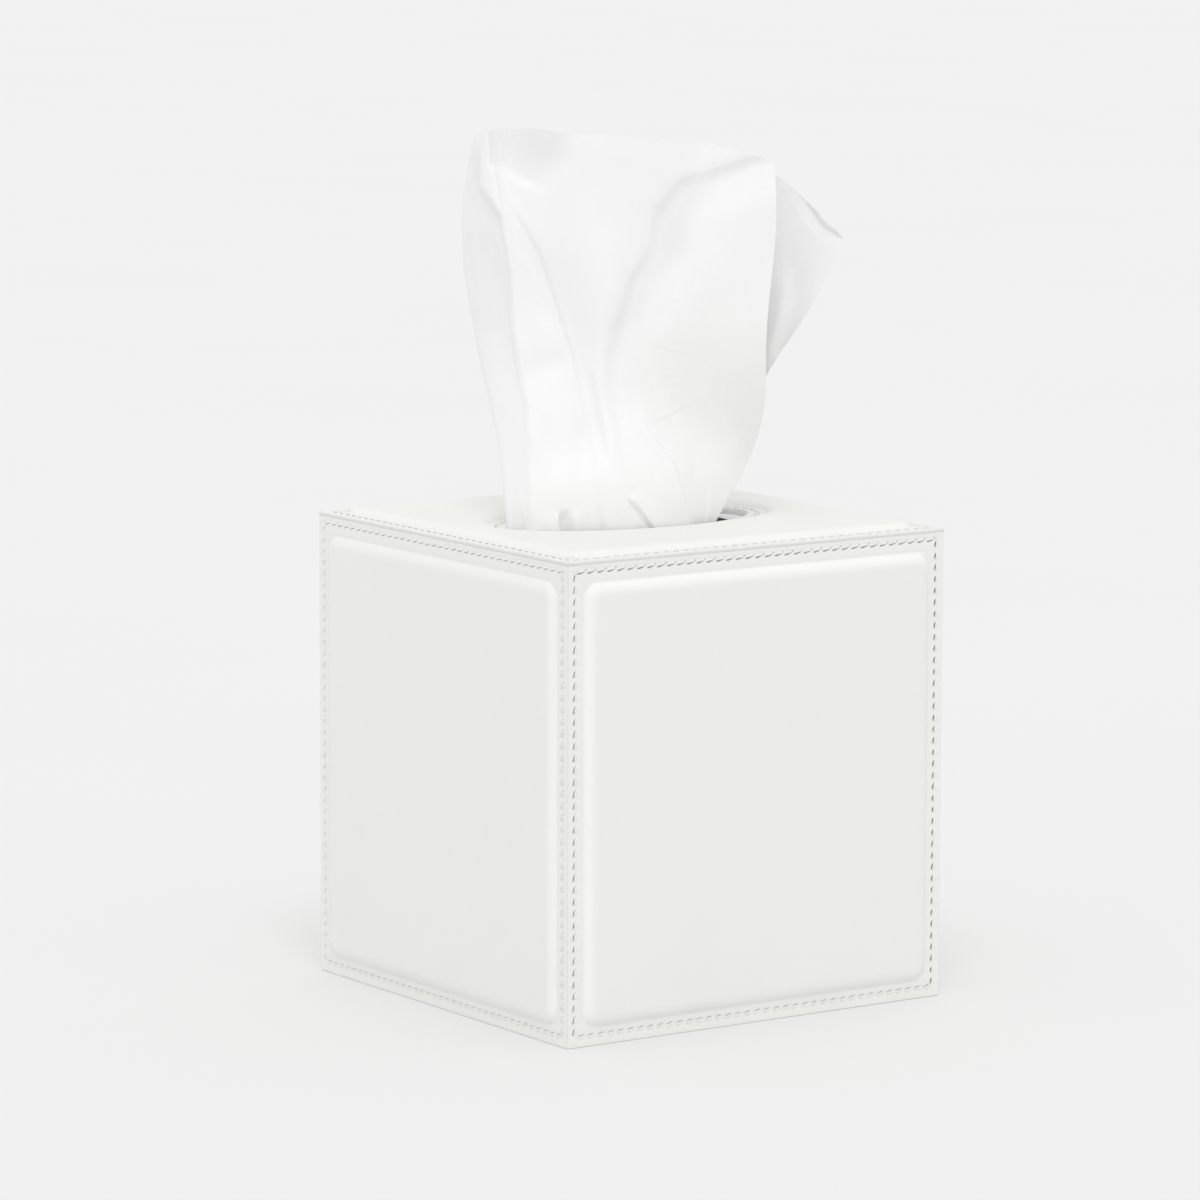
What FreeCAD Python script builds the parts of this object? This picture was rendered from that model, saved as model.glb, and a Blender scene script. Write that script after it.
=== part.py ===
import FreeCAD, Part
import math
import os

import Sketcher
from FreeCAD import Placement, Rotation, Vector

# A cube-shaped leather cover for a carton of paper tissues. Every panel is a leather skin drawn over a
# thin foam pad on a stiff board, lined inside, and box-stitched to its neighbours along a flat rim.
# The cover stands open-bottomed over a card carton that holds the folded stack, and one sheet is drawn
# up through the oval opening. Millimetres, +Z up, origin under the middle of the base.

# Driving sizes in millimetres: alias, value, meaning.
SIZES = [
    ("box_width", 135.0, "cover over its rims, left to right"),
    ("box_depth", 135.0, "cover over its rims, front to back"),
    ("box_height", 142.0, "cover from the table to the top rim"),
    ("leather", 1.2, "thickness of the leather skin"),
    ("board", 2.5, "thickness of the stiff board"),
    ("lining", 0.8, "thickness of the inner lining"),
    ("foam", 1.5, "thickness of the foam pad, and the rise of the field over the rim"),
    ("rim_width", 5.5, "flat stitched rim between an edge and the field"),
    ("slope_run", 2.6, "width of the slope between the rim and the raised field"),
    ("field_corner", 5.0, "corner radius of the field at the rim"),
    ("crest_radius", 5.0, "rounding where the slope meets the raised field"),
    ("opening_length", 83.0, "oval opening, left to right"),
    ("opening_width", 42.0, "oval opening, front to back"),
    ("opening_rim", 5.5, "flat stitched rim round the opening"),
    ("facing", 0.8, "thickness of the strip that covers the opening's edge"),
    ("stitch_inset", 3.0, "from an edge to the line of stitches"),
    ("corner_inset", 2.4, "from an upright edge to its lines of stitches"),
    ("stitch_pitch", 3.45, "from one stitch to the next"),
    ("stitch_length", 2.7, "length of one visible stitch"),
    ("stitch_slant", 14.0, "degrees that a stitch leans off its line"),
    ("thread_width", 0.8, "width of the thread"),
    ("thread_rise", 0.35, "how far the thread stands proud of the leather"),
    ("carton_side_room", 8.0, "room on each side between the carton and the lining"),
    ("carton_head_room", 10.5, "room between the carton and the lining over it"),
    ("card", 0.5, "thickness of the carton's card"),
    ("carton_opening_length", 88.0, "oval cut-out in the carton's top, left to right"),
    ("carton_opening_width", 46.0, "oval cut-out in the carton's top, front to back"),
    ("stack_margin", 2.0, "room between the stack and the carton's walls"),
    ("stack_head_room", 38.0, "room between the stack and the carton's top"),
    ("stack_corner", 3.0, "rounding of the stack's upright edges"),
    ("tissue", 0.3, "thickness of the two crumpled plies of the drawn sheet"),
    ("tissue_height", 118.0, "drawn sheet, above the top rim"),
    ("tissue_spread", 66.0, "reach of the drawn sheet's far edge off the middle"),
    ("tissue_fold", 46.0, "half width of the drawn sheet where it leaves the stack"),
    ("tissue_hollow", 12.0, "half depth between the sheet's front and back layer"),
]

doc = FreeCAD.newDocument("TissueBoxCover")
sheet = doc.addObject("Spreadsheet::Sheet", "Sizes")


def fill_sheet():
    """Puts each driving size in a cell with its alias."""
    for row, (alias, value, meaning) in enumerate(SIZES, start=1):
        sheet.set(f"A{row}", meaning)
        sheet.set(f"B{row}", str(value))
        sheet.setAlias(f"B{row}", alias)
    doc.recompute()


def size(alias):
    """A driving size as a plain number."""
    return float(sheet.get(alias))


def bind(thing, **expressions):
    """Ties properties to the sheet. A double underscore in a name stands for a dot."""
    for name, expression in expressions.items():
        thing.setExpression(name.replace("__", "."), expression)


# Lengths that several pieces share, as expressions over the sheet.
S = "Sizes."
HALF_WIDTH = f"{S}box_width / 2"
HALF_DEPTH = f"{S}box_depth / 2"
UNDER_TOP_SKIN = f"{S}box_height - {S}leather"
UNDER_TOP_BOARD = f"{UNDER_TOP_SKIN} - {S}board"
UNDER_TOP_LINING = f"{UNDER_TOP_BOARD} - {S}lining"
WALL = f"({S}leather + {S}board + {S}lining)"
CARTON_WIDTH = f"({S}box_width - 2 * {WALL} - 2 * {S}carton_side_room)"
CARTON_DEPTH = f"({S}box_depth - 2 * {WALL} - 2 * {S}carton_side_room)"
CARTON_HEIGHT = f"({UNDER_TOP_LINING} - {S}carton_head_room)"
STACK_HEIGHT = f"({CARTON_HEIGHT} - 2 * {S}card - {S}stack_head_room)"


# Sketch helpers

def new_body(name):
    return doc.addObject("PartDesign::Body", name)


def origin_plane(body, role):
    return next(f for f in body.Origin.OriginFeatures if f.Role == role)


def new_sketch(body, name, role, offset="0"):
    """A sketch on one of the body's origin planes, moved along the plane's normal by offset."""
    sketch = body.newObject("Sketcher::SketchObject", name)
    sketch.AttachmentSupport = [(origin_plane(body, role), "")]
    sketch.MapMode = "FlatFace"
    sketch.setExpression("AttachmentOffset.Base.z", offset)
    return sketch


def measure(sketch, constraint, expression):
    """Adds a driving dimension whose value comes from the sheet."""
    index = sketch.addConstraint(constraint)
    name = f"d{index}"
    sketch.renameConstraint(index, name)
    sketch.setExpression(f"Constraints.{name}", expression)


def value_of(expression):
    """The present value of an expression over the sheet."""
    return float(sheet.evalExpression(expression))


def draw_polygon(sketch, points):
    """Closed outline of straight lines through the points. Returns the index of its first line."""
    first = sketch.GeometryCount
    count = len(points)
    for i in range(count):
        sketch.addGeometry(Part.LineSegment(points[i], points[(i + 1) % count]), False)
    for i in range(count):
        sketch.addConstraint(Sketcher.Constraint("Coincident", first + i, 2, first + (i + 1) % count, 1))
    return first


def draw_rectangle(sketch, width, height):
    """Rectangle about the sketch's origin."""
    w, h = value_of(width) / 2, value_of(height) / 2
    first = draw_polygon(sketch, [Vector(-w, -h, 0), Vector(w, -h, 0), Vector(w, h, 0), Vector(-w, h, 0)])
    for line, way in enumerate(("Horizontal", "Vertical", "Horizontal", "Vertical")):
        sketch.addConstraint(Sketcher.Constraint(way, first + line))
    sketch.addConstraint(Sketcher.Constraint("Symmetric", first, 1, first + 2, 1, -1, 1))
    measure(sketch, Sketcher.Constraint("DistanceX", first, 1, first, 2, 2 * w), width)
    measure(sketch, Sketcher.Constraint("DistanceY", first + 1, 1, first + 1, 2, 2 * h), height)


def draw_rounded_rectangle(sketch, width, height, radius):
    """Rectangle about the sketch's origin with round corners."""
    w, h, r = value_of(width) / 2, value_of(height) / 2, value_of(radius)
    z = Vector(0, 0, 1)
    sides = [((-w + r, -h), (w - r, -h)), ((w, -h + r), (w, h - r)),
             ((w - r, h), (-w + r, h)), ((-w, h - r), (-w, -h + r))]
    centres = [(w - r, -h + r), (w - r, h - r), (-w + r, h - r), (-w + r, -h + r)]
    for start, end in sides:
        sketch.addGeometry(Part.LineSegment(Vector(*start, 0), Vector(*end, 0)), False)
    for i, centre in enumerate(centres):
        circle = Part.Circle(Vector(*centre, 0), z, r)
        quarter = math.pi / 2
        sketch.addGeometry(Part.ArcOfCircle(circle, (i - 1) * quarter, i * quarter), False)
    for i in range(4):
        sketch.addConstraint(Sketcher.Constraint("Tangent", i, 2, 4 + i, 1))
        sketch.addConstraint(Sketcher.Constraint("Tangent", 4 + i, 2, (i + 1) % 4, 1))
    for line, way in enumerate(("Horizontal", "Vertical", "Horizontal", "Vertical")):
        sketch.addConstraint(Sketcher.Constraint(way, line))
    for arc in (5, 6, 7):
        sketch.addConstraint(Sketcher.Constraint("Equal", 4, arc))
    sketch.addConstraint(Sketcher.Constraint("Symmetric", 4, 3, 6, 3, -1, 1))
    measure(sketch, Sketcher.Constraint("DistanceX", 3, 1, 1, 1, 2 * w), width)
    measure(sketch, Sketcher.Constraint("DistanceY", 0, 1, 2, 1, 2 * h), height)
    measure(sketch, Sketcher.Constraint("Radius", 4, r), radius)


def draw_ellipse(sketch, length, width):
    """Ellipse about the sketch's origin, its long axis along the sketch's first axis."""
    a, b = value_of(length) / 2, value_of(width) / 2
    sketch.addGeometry(Part.Ellipse(Vector(a, 0, 0), Vector(0, b, 0), Vector(0, 0, 0)), False)
    sketch.exposeInternalGeometry(0)
    sketch.addConstraint(Sketcher.Constraint("Coincident", 0, 3, -1, 1))
    sketch.addConstraint(Sketcher.Constraint("Horizontal", 1))
    measure(sketch, Sketcher.Constraint("Distance", 1, 2 * a), length)
    measure(sketch, Sketcher.Constraint("Distance", 2, 2 * b), width)


def pad(body, name, sketch, length, taper=None, midplane=False):
    feature = body.newObject("PartDesign::Pad", name)
    feature.Profile = sketch
    feature.setExpression("Length", length)
    if taper:
        feature.setExpression("TaperAngle", taper)
    if midplane:
        feature.SideType = "Symmetric"
    doc.recompute()
    return feature


def round_edges(body, name, base, radius, chosen):
    """Fillet on the edges of base for which chosen(edge) holds."""
    names = [f"Edge{i}" for i, e in enumerate(base.Shape.Edges, start=1) if chosen(e)]
    fillet = body.newObject("PartDesign::Fillet", name)
    fillet.Base = (base, names)
    fillet.setExpression("Radius", radius)
    body.Tip = fillet
    doc.recompute()
    return fillet


def lies_at(edge, axis, value):
    """True if the whole edge lies in the plane where that coordinate has that value."""
    box = edge.BoundBox
    low, high = {"y": (box.YMin, box.YMax), "z": (box.ZMin, box.ZMax)}[axis]
    return abs(low - value) < 1e-4 and abs(high - value) < 1e-4


# Part helpers

def block(name, length, width, height, x, y, z):
    """Part::Box of that size with its lowest corner at x, y, z, all of them expressions."""
    box = doc.addObject("Part::Box", name)
    bind(box, Length=length, Width=width, Height=height)
    bind(box, Placement__Base__x=x, Placement__Base__y=y, Placement__Base__z=z)
    return box


def oval_prism(name, length, width, z, height):
    """Upright prism over an ellipse about the Z axis."""
    ring = doc.addObject("Part::Ellipse", f"{name}_outline")
    bind(ring, MajorRadius=f"({length}) / 2", MinorRadius=f"({width}) / 2", Placement__Base__z=z)
    prism = doc.addObject("Part::Extrusion", name)
    prism.Base = ring
    prism.DirMode = "Custom"
    prism.Dir = Vector(0, 0, 1)
    prism.Solid = True
    prism.setExpression("LengthFwd", height)
    return prism


def cut(name, base, tool):
    """Part::Cut of tool from base."""
    result = doc.addObject("Part::Cut", name)
    result.Base = base
    result.Tool = tool
    return result


# The raised field that foam and leather share

TAPER = f"-atan({S}slope_run / {S}foam)"
FIELD_UP = f"{UNDER_TOP_SKIN} - 2 * {S}rim_width"


def field_profile(body, name, role, offset, width, height):
    """Outline of a raised field at the rim."""
    sketch = new_sketch(body, name, role, offset)
    draw_rounded_rectangle(sketch, width, height, f"{S}field_corner")
    return sketch


def sink_crater(body, z):
    """Cuts the slope down to the rim of the opening out of a raised field that starts at height z."""
    profiles = []
    for level, rise, run in (("foot", "0", "0"), ("crest", f"{S}foam", f"{S}slope_run")):
        sketch = new_sketch(body, f"{body.Name}_crater_{level}", "XY_Plane", f"{z} + {rise}")
        reach = f"2 * ({S}opening_rim + {run})"
        draw_ellipse(sketch, f"{S}opening_length + {reach}", f"{S}opening_width + {reach}")
        profiles.append(sketch)
    loft = body.newObject("PartDesign::SubtractiveLoft", f"{body.Name}_crater")
    loft.Profile = profiles[0]
    loft.Sections = [profiles[1]]
    loft.Ruled = True
    doc.recompute()
    return loft


# Wall panels. A wall is drawn as the front one: its outer face in the XZ plane, looking along -Y.

WALLS = {
    "front": (f"{S}box_width", "0", f"-{HALF_DEPTH}", 0),
    "right": (f"{S}box_depth", HALF_WIDTH, "0", 90),
    "back": (f"{S}box_width", "0", HALF_DEPTH, 180),
    "left": (f"{S}box_depth", f"-{HALF_WIDTH}", "0", 270),
}


def stand(thing, side):
    """Turns a piece drawn as the front one to its own side of the cover."""
    x, y, turn = WALLS[side][1:]
    thing.Placement = Placement(Vector(0, 0, 0), Rotation(Vector(0, 0, 1), turn))
    bind(thing, Placement__Base__x=x, Placement__Base__y=y)


def wall_form(side):
    """Outside form of a wall skin: upright sheet, foot turned in, mitred ends and raised field."""
    length = WALLS[side][0]
    body = new_body(f"form_{side}")
    section = new_sketch(body, f"section_{side}", "YZ_Plane")
    skin, foot, top = value_of(f"{S}leather"), value_of(WALL), value_of(UNDER_TOP_SKIN)
    outline = [(0, 0), (foot, 0), (foot, skin), (skin, skin), (skin, top), (0, top)]
    draw_polygon(section, [Vector(y, z, 0) for y, z in outline])
    for line, way in enumerate(("Horizontal", "Vertical") * 3):
        section.addConstraint(Sketcher.Constraint(way, line))
    section.addConstraint(Sketcher.Constraint("Coincident", 0, 1, -1, 1))
    measure(section, Sketcher.Constraint("DistanceX", 0, 1, 0, 2, foot), WALL)
    measure(section, Sketcher.Constraint("DistanceY", 1, 1, 1, 2, skin), f"{S}leather")
    measure(section, Sketcher.Constraint("DistanceX", 4, 2, 4, 1, skin), f"{S}leather")
    measure(section, Sketcher.Constraint("DistanceY", 5, 2, 5, 1, top), UNDER_TOP_SKIN)
    pad(body, f"sheet_{side}", section, length, midplane=True)

    for end, sign in (("a", -1), ("b", 1)):
        mitre = new_sketch(body, f"mitre_{end}_{side}", "XY_Plane")
        half = value_of(length) / 2
        corners = [(sign * half, 0), (sign * half, foot), (sign * (half - foot), foot)]
        draw_polygon(mitre, [Vector(x, y, 0) for x, y in corners])
        mitre.addConstraint(Sketcher.Constraint("Vertical", 0))
        mitre.addConstraint(Sketcher.Constraint("Horizontal", 1))
        mitre.addConstraint(Sketcher.Constraint("PointOnObject", 0, 1, -1))
        mitre.addConstraint(Sketcher.Constraint("Equal", 0, 1))
        ends = (-1, 1, 0, 1) if sign > 0 else (0, 1, -1, 1)
        measure(mitre, Sketcher.Constraint("DistanceX", *ends, half), f"{length} / 2")
        measure(mitre, Sketcher.Constraint("DistanceY", 0, 1, 0, 2, foot), WALL)
        pocket = body.newObject("PartDesign::Pocket", f"mitre_cut_{end}_{side}")
        pocket.Profile = mitre
        pocket.Type = "ThroughAll"
        pocket.SideType = "Symmetric"
        doc.recompute()

    centre = f"({UNDER_TOP_SKIN}) / 2 + {S}leather / 2"
    across = f"{length} - 2 * {S}rim_width"
    sketch = field_profile(body, f"field_outline_{side}", "XZ_Plane", "0", across, FIELD_UP)
    sketch.setExpression("AttachmentOffset.Base.y", centre)
    field = pad(body, f"field_{side}", sketch, f"{S}foam", TAPER)
    crest = -size("foam")
    round_edges(body, f"crest_{side}", field, f"{S}crest_radius", lambda e: lies_at(e, "y", crest))
    return body


def wall_foam(side):
    """Foam pad of a wall, with bevelled edges, lying against the board."""
    length = WALLS[side][0]
    body = new_body(f"foam_{side}")
    across = f"{length} - 2 * {S}rim_width"
    sketch = field_profile(body, f"foam_outline_{side}", "XZ_Plane", f"-{S}leather", across, FIELD_UP)
    sketch.setExpression("AttachmentOffset.Base.y", f"({UNDER_TOP_SKIN}) / 2 + {S}leather / 2")
    pad(body, f"foam_pad_{side}", sketch, f"{S}foam", TAPER)
    return body


def wall_panels():
    """Skin and foam of the four walls."""
    made = {}
    for side in WALLS:
        form = wall_form(side)
        foam = wall_foam(side)
        stand(form, side)
        stand(foam, side)
        made[f"leather_{side}"] = cut(f"leather_{side}", form, foam)
        made[f"foam_{side}"] = foam
    return made


# Top panel

def top_field(body, z):
    """Raised field of the top, starting at height z."""
    width, depth = f"{S}box_width - 2 * {S}rim_width", f"{S}box_depth - 2 * {S}rim_width"
    sketch = field_profile(body, f"{body.Name}_outline", "XY_Plane", z, width, depth)
    return pad(body, f"{body.Name}_field", sketch, f"{S}foam", TAPER)


def top_panel():
    """Skin and foam of the top, with the oval opening."""
    foam = new_body("foam_top")
    top_field(foam, UNDER_TOP_SKIN)
    foam.Tip = sink_crater(foam, UNDER_TOP_SKIN)

    form = new_body("form_top")
    slab = new_sketch(form, "top_slab_outline", "XY_Plane", UNDER_TOP_SKIN)
    draw_rectangle(slab, f"{S}box_width", f"{S}box_depth")
    pad(form, "top_slab", slab, f"{S}leather")
    top_field(form, f"{S}box_height")
    crater = sink_crater(form, f"{S}box_height")
    crest, bowl = size("box_height") + size("foam"), size("opening_length") + 2 * size("opening_rim")
    bowl += 2 * size("slope_run")
    round_edges(form, "crest_top", crater, f"{S}crest_radius",
                lambda e: lies_at(e, "z", crest) and abs(e.BoundBox.XLength - bowl) > 1)
    outline = new_sketch(form, "opening_outline", "XY_Plane", f"{S}box_height + 2 * {S}foam")
    draw_ellipse(outline, f"{S}opening_length", f"{S}opening_width")
    opening = form.newObject("PartDesign::Pocket", "opening")
    opening.Profile = outline
    opening.Type = "ThroughAll"
    doc.recompute()
    return {"leather_top": cut("leather_top", form, foam), "foam_top": foam}


# Boards and lining

def boards():
    """Stiff boards: two full-width walls, two between them, and the top with its opening."""
    inside_width = f"{S}box_width - 2 * {S}leather"
    inside_depth = f"{S}box_depth - 2 * {S}leather"
    height = f"{UNDER_TOP_BOARD} - {S}leather"
    between = f"{inside_depth} - 2 * {S}board"
    left, front = f"{S}leather - {HALF_WIDTH}", f"{S}leather - {HALF_DEPTH}"
    right, back = f"{HALF_WIDTH} - {S}leather - {S}board", f"{HALF_DEPTH} - {S}leather - {S}board"
    foot, deep = f"{S}leather", f"{front} + {S}board"
    plate = block("board_top_plate", inside_width, inside_depth, f"{S}board", left, front, UNDER_TOP_BOARD)
    hole_length, hole_width = (f"{S}opening_{way} + 2 * {S}facing" for way in ("length", "width"))
    hole = oval_prism("board_top_hole", hole_length, hole_width, UNDER_TOP_BOARD, f"{S}board")
    return {
        "board_front": block("board_front", inside_width, f"{S}board", height, left, front, foot),
        "board_back": block("board_back", inside_width, f"{S}board", height, left, back, foot),
        "board_left": block("board_left", f"{S}board", between, height, left, deep, foot),
        "board_right": block("board_right", f"{S}board", between, height, right, deep, foot),
        "board_top": cut("board_top", plate, hole),
    }


def linings():
    """Lining panels inside the boards, and the strip that faces the opening's edge."""
    wall = f"({S}leather + {S}board)"
    width, depth = f"{S}box_width - 2 * {wall}", f"{S}box_depth - 2 * {wall}"
    between = f"{depth} - 2 * {S}lining"
    height = f"{UNDER_TOP_LINING} - {S}leather"
    left, front = f"{wall} - {HALF_WIDTH}", f"{wall} - {HALF_DEPTH}"
    right, back = f"{HALF_WIDTH} - {wall} - {S}lining", f"{HALF_DEPTH} - {wall} - {S}lining"
    foot, deep = f"{S}leather", f"{front} + {S}lining"
    plate = block("lining_top_plate", width, depth, f"{S}lining", left, front, UNDER_TOP_LINING)
    outer_length, outer_width = (f"{S}opening_{way} + 2 * {S}facing" for way in ("length", "width"))
    rise = f"{S}board + {S}lining"
    hole = oval_prism("lining_top_hole", outer_length, outer_width, UNDER_TOP_LINING, f"{S}lining")
    ring = oval_prism("facing_outer", outer_length, outer_width, UNDER_TOP_LINING, rise)
    bore = oval_prism("facing_inner", f"{S}opening_length", f"{S}opening_width", UNDER_TOP_LINING, rise)
    return {
        "lining_front": block("lining_front", width, f"{S}lining", height, left, front, foot),
        "lining_back": block("lining_back", width, f"{S}lining", height, left, back, foot),
        "lining_left": block("lining_left", f"{S}lining", between, height, left, deep, foot),
        "lining_right": block("lining_right", f"{S}lining", between, height, right, deep, foot),
        "lining_top": cut("lining_top", plate, hole),
        "opening_facing": cut("opening_facing", ring, bore),
    }


# Carton and folded stack

def carton():
    """Card carton with an oval cut-out, and the folded stack inside."""
    left, front = f"-{CARTON_WIDTH} / 2", f"-{CARTON_DEPTH} / 2"
    outer = block("carton_outside", CARTON_WIDTH, CARTON_DEPTH, CARTON_HEIGHT, left, front, "0")
    room = [f"{way} - 2 * {S}card" for way in (CARTON_WIDTH, CARTON_DEPTH, CARTON_HEIGHT)]
    inner = block("carton_inside", *room, f"{left} + {S}card", f"{front} + {S}card", f"{S}card")
    under = f"{CARTON_HEIGHT} - {S}card"
    window = oval_prism("carton_cutout", f"{S}carton_opening_length", f"{S}carton_opening_width", under,
                        f"{S}card")
    shell = cut("carton_shell", outer, inner)

    stack = new_body("tissue_stack")
    outline = new_sketch(stack, "stack_outline", "XY_Plane", f"{S}card")
    width, depth = (f"{way} - 2 * ({S}card + {S}stack_margin)" for way in (CARTON_WIDTH, CARTON_DEPTH))
    draw_rounded_rectangle(outline, width, depth, f"{S}stack_corner")
    pad(stack, "stack_block", outline, STACK_HEIGHT)
    return {
        "tissue_carton": cut("tissue_carton", shell, window),
        "tissue_stack": stack,
    }


# Stitches

def stitch(centre, along, out, lean):
    """One visible stitch, leaning off its line, highest in the middle and sinking in at both ends."""
    along = Rotation(out, lean * size("stitch_slant")).multVec(along)
    reach = along * (size("stitch_length") / 2)
    side = out.cross(along) * (size("thread_width") / 2)
    corners = [centre - reach, centre - side, centre + reach, centre + side]
    crown = centre + out * size("thread_rise")
    faces = [Part.Face(Part.makePolygon(corners + corners[:1]))]
    for i, corner in enumerate(corners):
        faces.append(Part.Face(Part.makePolygon([corner, corners[(i + 1) % 4], crown, corner])))
    return Part.makeSolid(Part.makeShell(faces))


def stitch_row(start, end, out, lean=1):
    """Evenly spaced stitches from start to end on a face that looks along out."""
    run = end - start
    count = int(round(run.Length / size("stitch_pitch")))
    step = run / count
    along = Vector(run).normalize()
    return [stitch(start + step * (i + 0.5), along, out, lean) for i in range(count)]


def stitch_oval(a, b, z):
    """Evenly spaced stitches on an ellipse with half axes a and b at height z."""
    ring = Part.Ellipse(Vector(0, 0, z), a, b).toShape()
    count = int(round(ring.Length / size("stitch_pitch")))
    made = []
    for i in range(count):
        at = ring.getParameterByLength(ring.Length * (i + 0.5) / count)
        made.append(stitch(ring.valueAt(at), ring.tangentAt(at), Vector(0, 0, 1), 1))
    return made


def thread(name, stitches):
    """One seam's thread, seen as its separate stitches."""
    feature = doc.addObject("Part::Feature", name)
    feature.Shape = Part.makeCompound(stitches)
    return feature


def seams():
    """Box stitches over the upright and top edges, hem stitches at the foot, and the ring at the opening."""
    hx, hy, top = size("box_width") / 2, size("box_depth") / 2, size("box_height")
    inset = size("stitch_inset")
    low, high = inset, top - inset
    up = Vector(0, 0, 1)
    ways = {"front": (Vector(1, 0, 0), Vector(0, -1, 0), hx, hy),
            "right": (Vector(0, 1, 0), Vector(1, 0, 0), hy, hx),
            "back": (Vector(-1, 0, 0), Vector(0, 1, 0), hx, hy),
            "left": (Vector(0, -1, 0), Vector(-1, 0, 0), hy, hx)}
    made = {}
    names = list(ways)
    for i, side in enumerate(names):
        along, out, reach, off = ways[side]
        face = out * off
        ends = (face - along * (reach - inset), face + along * (reach - inset))
        top_line = [out * (off - inset) + along * (s * (reach - inset)) + up * top for s in (-1, 1)]
        made[f"thread_top_{side}"] = thread(
            f"thread_top_{side}",
            stitch_row(ends[0] + up * high, ends[1] + up * high, out) + stitch_row(*top_line, up))
        made[f"thread_hem_{side}"] = thread(
            f"thread_hem_{side}", stitch_row(ends[0] + up * low, ends[1] + up * low, out))
        other = names[(i + 1) % 4]
        along2, out2, reach2, off2 = ways[other]
        foot1 = face + along * (reach - size("corner_inset")) + up * low
        foot2 = out2 * off2 - along2 * (reach2 - size("corner_inset")) + up * low
        rise = up * (high - low)
        made[f"thread_corner_{side}_{other}"] = thread(
            f"thread_corner_{side}_{other}",
            stitch_row(foot1, foot1 + rise, out, -1) + stitch_row(foot2, foot2 + rise, out2, -1))
    a, b = size("opening_length") / 2 + inset, size("opening_width") / 2 + inset
    made["thread_opening"] = thread("thread_opening", stitch_oval(a, b, top))
    return made


# Drawn sheet

# Stations across the sheet, from the free edge of its back layer round the fold at the left to the free
# edge of its front layer. Each row is a height over the top rim. A pair is the reach along the sheet and
# the depth off its middle plane, front negative.
SHEET_LEVELS = [
    (-53.5, [(38, 1), (20, 2), (0, 2), (-20, 2), (-38, 0), (-35, -2), (-20, -2), (-10, -2), (0, -2),
             (12, -2), (24, -2), (37, -1)]),
    (-15.5, [(19, 1), (9, 3), (-4, 0), (-16, 3), (-28, 0), (-24, -7), (-13, -9), (-7, -12), (-1, -10),
             (7, -13), (13, -9), (18, -8)]),
    (0, [(23, 2), (11, 5), (-5, 1), (-19, 5), (-33, 0), (-28, -9), (-13, -13), (-8, -16), (-2, -15),
         (8, -17), (14, -14), (20, -12)]),
    (20, [(34.5, 5), (18, 7), (-4, 5), (-22, 7), (-38, 0), (-31, -8), (-14, -9), (-9, -12), (-3, -10),
          (9, -14), (17, -10), (33, -8)]),
    (42, [(43, 9), (27, 10), (0, 9), (-27, 9), (-43, 0), (-35, -9), (-16, -6), (-10, -10), (-4, -8),
          (5, -11), (19, -10), (39.5, -9)]),
    (66, [(56.5, 13), (34, 11), (2, 11), (-31, 10), (-48, 2), (-36, -9), (-23, -6), (-8, -12), (1.5, -7.5),
          (14, -12), (27, -12), (41.5, -10)]),
    (90, [(66, 15), (38, 10), (5, 12), (-32, 10), (-50, 4), (-39, -8), (-33, -6), (-12, -12), (9, -6),
          (20, -10), (32, -12), (43.5, -10)]),
    (118, [(66, 15), (40, 8), (5, 11), (-30, 10), (-45, 4), (-43, -5), (-36, -1), (-14, -11), (22, -7),
           (28, -9), (35, -10), (42, -10)]),
]
# Height of the sheet's top edge over the top rim, station by station.
SHEET_TOP = [84, 105, 112.5, 117.5, 114.5, 114.5, 117, 116, 113.5, 112.5, 110.5, 108]
# Shares of the top edge's height at which the sheet is drawn, over the top rim.
SHEET_SHARES = [0.0, 0.07, 0.18, 0.3, 0.42, 0.56, 0.7, 0.85, 1.0]
SHEET_FALL = [-53.5, -36, -24, -15.5, -7]
# The drawn sheet's middle plane turns by so many degrees from the opening up to that height of the table.
SHEET_TURN = math.radians(-34.4)
SHEET_TURN_TOP = 62.0


def on_line(pairs, at):
    """Value at a place on a line of straight pieces through the pairs."""
    for (x0, y0), (x1, y1) in zip(pairs, pairs[1:]):
        if at <= x1 or x1 == pairs[-1][0]:
            return y0 + (y1 - y0) * (at - x0) / (x1 - x0)


def station_at(i, height):
    """Reach and depth of station i at a height of the table."""
    return [on_line([(z, row[i][k]) for z, row in SHEET_LEVELS], height) for k in (0, 1)]


def sheet_point(i, height):
    """Point of station i at a height of the table, as a vector in the cover's frame."""
    stack_top = value_of(f"{S}card + {STACK_HEIGHT}")
    card_height = value_of(f"{CARTON_HEIGHT} - {S}card")
    top, above = size("box_height"), size("tissue_height")
    real = on_line([(-53.5, stack_top), (-15.5, card_height), (0, top), (118, top + above)], height)
    fold, spread, hollow = size("tissue_fold") / 46, size("tissue_spread") / 66, size("tissue_hollow") / 12
    wide = on_line([(-53.5, fold), (-15.5, size("carton_opening_length") / 88),
                    (0, size("opening_length") / 83), (66, spread), (118, spread)], height)
    deep = on_line([(-53.5, hollow), (-15.5, size("carton_opening_width") / 46),
                    (0, size("opening_width") / 42), (66, hollow), (118, hollow)], height)
    reach, depth = station_at(i, height)
    share = min(max(height / SHEET_TURN_TOP, 0.0), 1.0)
    turn = SHEET_TURN * share * share * (3 - 2 * share)
    reach *= wide / math.cos(SHEET_TURN - turn)
    depth *= deep
    x = reach * math.cos(turn) - depth * math.sin(turn)
    y = reach * math.sin(turn) + depth * math.cos(turn)
    return Vector(x, y, real)


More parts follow.
